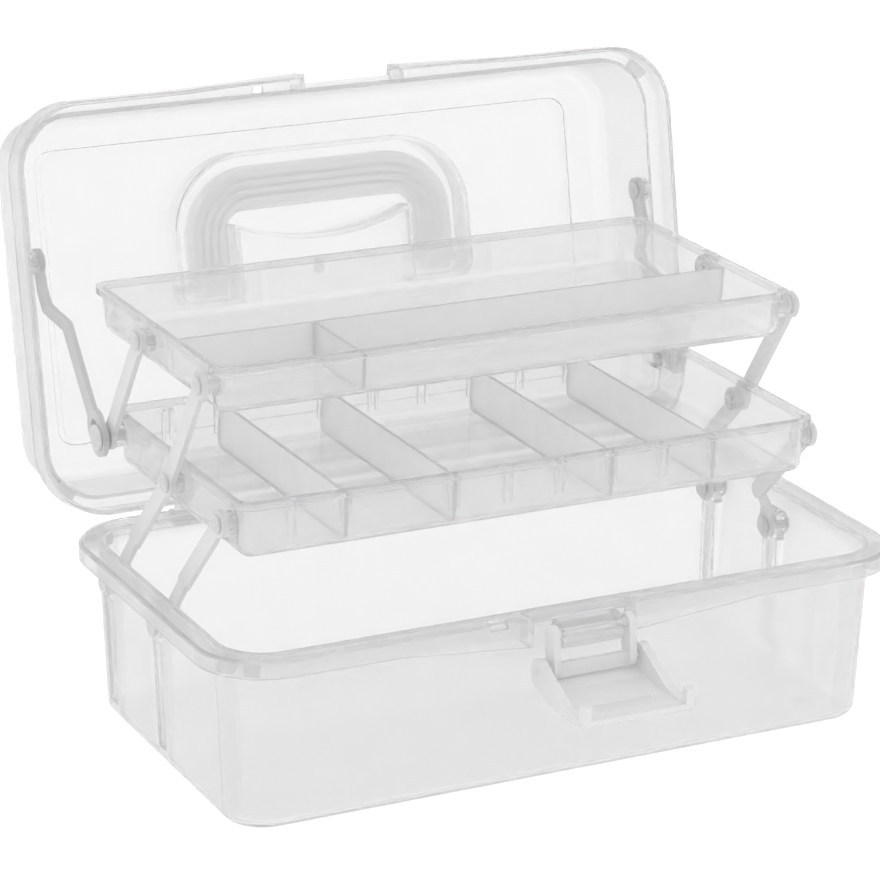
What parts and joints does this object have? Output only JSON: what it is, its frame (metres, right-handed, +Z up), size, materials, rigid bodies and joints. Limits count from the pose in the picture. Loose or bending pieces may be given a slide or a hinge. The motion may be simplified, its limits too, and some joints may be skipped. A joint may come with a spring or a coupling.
{
  "type": "storage box",
  "caption": "Milky clear plastic craft box standing open: hinged lid with a folding carry handle, front draw latch, and divided trays that rise on folding arms.",
  "frame": {"origin": "middle of the base's underside, where the box stands", "axes": "+X along the box to the right seen from the latch side, -Y to the latch side, +Z up"},
  "size_m": [0.33, 0.3346, 0.2625],
  "materials": {
    "clear_shell": "milky clear moulded plastic, softly glossy",
    "clear_tray": "milky clear moulded plastic, softly glossy",
    "smoky_divider": "frosted clear plastic sheet",
    "arm_plastic": "frosted clear plastic",
    "handle_plastic": "thick frosted clear plastic",
    "latch_plastic": "thick frosted clear plastic",
    "pin_plastic": "frosted plastic rivet"
  },
  "bodies": {
    "base": {"base_bin": "clear_shell", "hinge_pins": "pin_plastic", "base_pivot_pins": "pin_plastic"},
    "lid": {"lid_shell": "clear_shell", "lid_arm_pins": "pin_plastic"},
    "handle": {"carry_handle": "handle_plastic"},
    "link": {"latch_link": "latch_plastic"},
    "lever": {"latch_lever": "latch_plastic"},
    "lower": {"lower_tray": "clear_tray", "lower_tray_pins": "pin_plastic", "lower_divider_1": "smoky_divider", "lower_divider_2": "smoky_divider", "lower_divider_3": "smoky_divider", "lower_divider_4": "smoky_divider"},
    "upper": {"upper_tray": "clear_tray", "upper_tray_pins": "pin_plastic", "upper_long_divider": "smoky_divider", "upper_cross_divider": "smoky_divider"},
    "long_left": {"long_arm_left": "arm_plastic"},
    "front_left": {"front_arm_left": "arm_plastic"},
    "rear_left": {"rear_arm_left": "arm_plastic"},
    "lid_arm_left": {"lid_arm_left": "arm_plastic"},
    "long_right": {"long_arm_right": "arm_plastic"},
    "front_right": {"front_arm_right": "arm_plastic"},
    "rear_right": {"rear_arm_right": "arm_plastic"},
    "lid_arm_right": {"lid_arm_right": "arm_plastic"}
  },
  "joints": [
    {"name": "lid_hinge", "type": "hinge", "parent": "base", "child": "lid", "pos_m": [0, 0.097, 0.0753], "axis": [1, 0, 0], "range_deg": [0, 101.3]},
    {"name": "handle_swing", "type": "hinge", "parent": "lid", "child": "handle", "pos_m": [0, 0.1722, 0.15715], "axis": [-1, 0, 0], "range_deg": [0, 92]},
    {"name": "latch_link_swing", "type": "hinge", "parent": "base", "child": "link", "pos_m": [0, -0.0985, 0.074], "axis": [-1, 0, 0], "range_deg": [-6.01, 0]},
    {"name": "latch_lever_fold", "type": "hinge", "parent": "link", "child": "lever", "pos_m": [0, -0.10007, 0.05908], "axis": [-1, 0, 0], "range_deg": [0, 109.5]},
    {"name": "long_arm_left_swing", "type": "hinge", "parent": "base", "child": "long_left", "pos_m": [0, 0.0585, 0.064], "axis": [1, 0, 0], "range_deg": [0, 33.65]},
    {"name": "front_arm_left_swing", "type": "hinge", "parent": "base", "child": "front_left", "pos_m": [0, 0.0025, 0.064], "axis": [1, 0, 0], "range_deg": [0, 33.65]},
    {"name": "long_arm_right_swing", "type": "hinge", "parent": "base", "child": "long_right", "pos_m": [0, 0.0585, 0.064], "axis": [1, 0, 0], "range_deg": [0, 33.65]},
    {"name": "front_arm_right_swing", "type": "hinge", "parent": "base", "child": "front_right", "pos_m": [0, 0.0025, 0.064], "axis": [1, 0, 0], "range_deg": [0, 33.65]},
    {"name": "lower_tray_level", "type": "hinge", "parent": "long_left", "child": "lower", "pos_m": [0, 0.0195, 0.1215], "axis": [1, 0, 0], "range_deg": [-33.65, 0]},
    {"name": "upper_tray_level", "type": "hinge", "parent": "long_left", "child": "upper", "pos_m": [0, -0.017, 0.176], "axis": [1, 0, 0], "range_deg": [-33.65, 0]},
    {"name": "rear_arm_left_swing", "type": "hinge", "parent": "lower", "child": "rear_left", "pos_m": [0, 0.087, 0.1215], "axis": [1, 0, 0], "range_deg": [0, 33.65]},
    {"name": "lid_arm_left_swing", "type": "hinge", "parent": "lid", "child": "lid_arm_left", "pos_m": [0, 0.143, 0.188], "axis": [1, 0, 0], "range_deg": [0, 23.42]},
    {"name": "rear_arm_right_swing", "type": "hinge", "parent": "lower", "child": "rear_right", "pos_m": [0, 0.087, 0.1215], "axis": [1, 0, 0], "range_deg": [0, 33.65]},
    {"name": "lid_arm_right_swing", "type": "hinge", "parent": "lid", "child": "lid_arm_right", "pos_m": [0, 0.143, 0.188], "axis": [1, 0, 0], "range_deg": [0, 23.42]}
  ],
  "couplings": [
    {"joint": "latch_link_swing", "follows": "latch_lever_fold", "ratio": -0.054795},
    {"joint": "long_arm_left_swing", "follows": "lid_hinge", "ratio": 0.33169},
    {"joint": "front_arm_left_swing", "follows": "lid_hinge", "ratio": 0.33169},
    {"joint": "long_arm_right_swing", "follows": "lid_hinge", "ratio": 0.33169},
    {"joint": "front_arm_right_swing", "follows": "lid_hinge", "ratio": 0.33169},
    {"joint": "lower_tray_level", "follows": "lid_hinge", "ratio": -0.33169},
    {"joint": "upper_tray_level", "follows": "lid_hinge", "ratio": -0.33169},
    {"joint": "rear_arm_left_swing", "follows": "lid_hinge", "ratio": 0.33169},
    {"joint": "lid_arm_left_swing", "follows": "lid_hinge", "ratio": 0.23065},
    {"joint": "rear_arm_right_swing", "follows": "lid_hinge", "ratio": 0.33169},
    {"joint": "lid_arm_right_swing", "follows": "lid_hinge", "ratio": 0.23065}
  ]
}
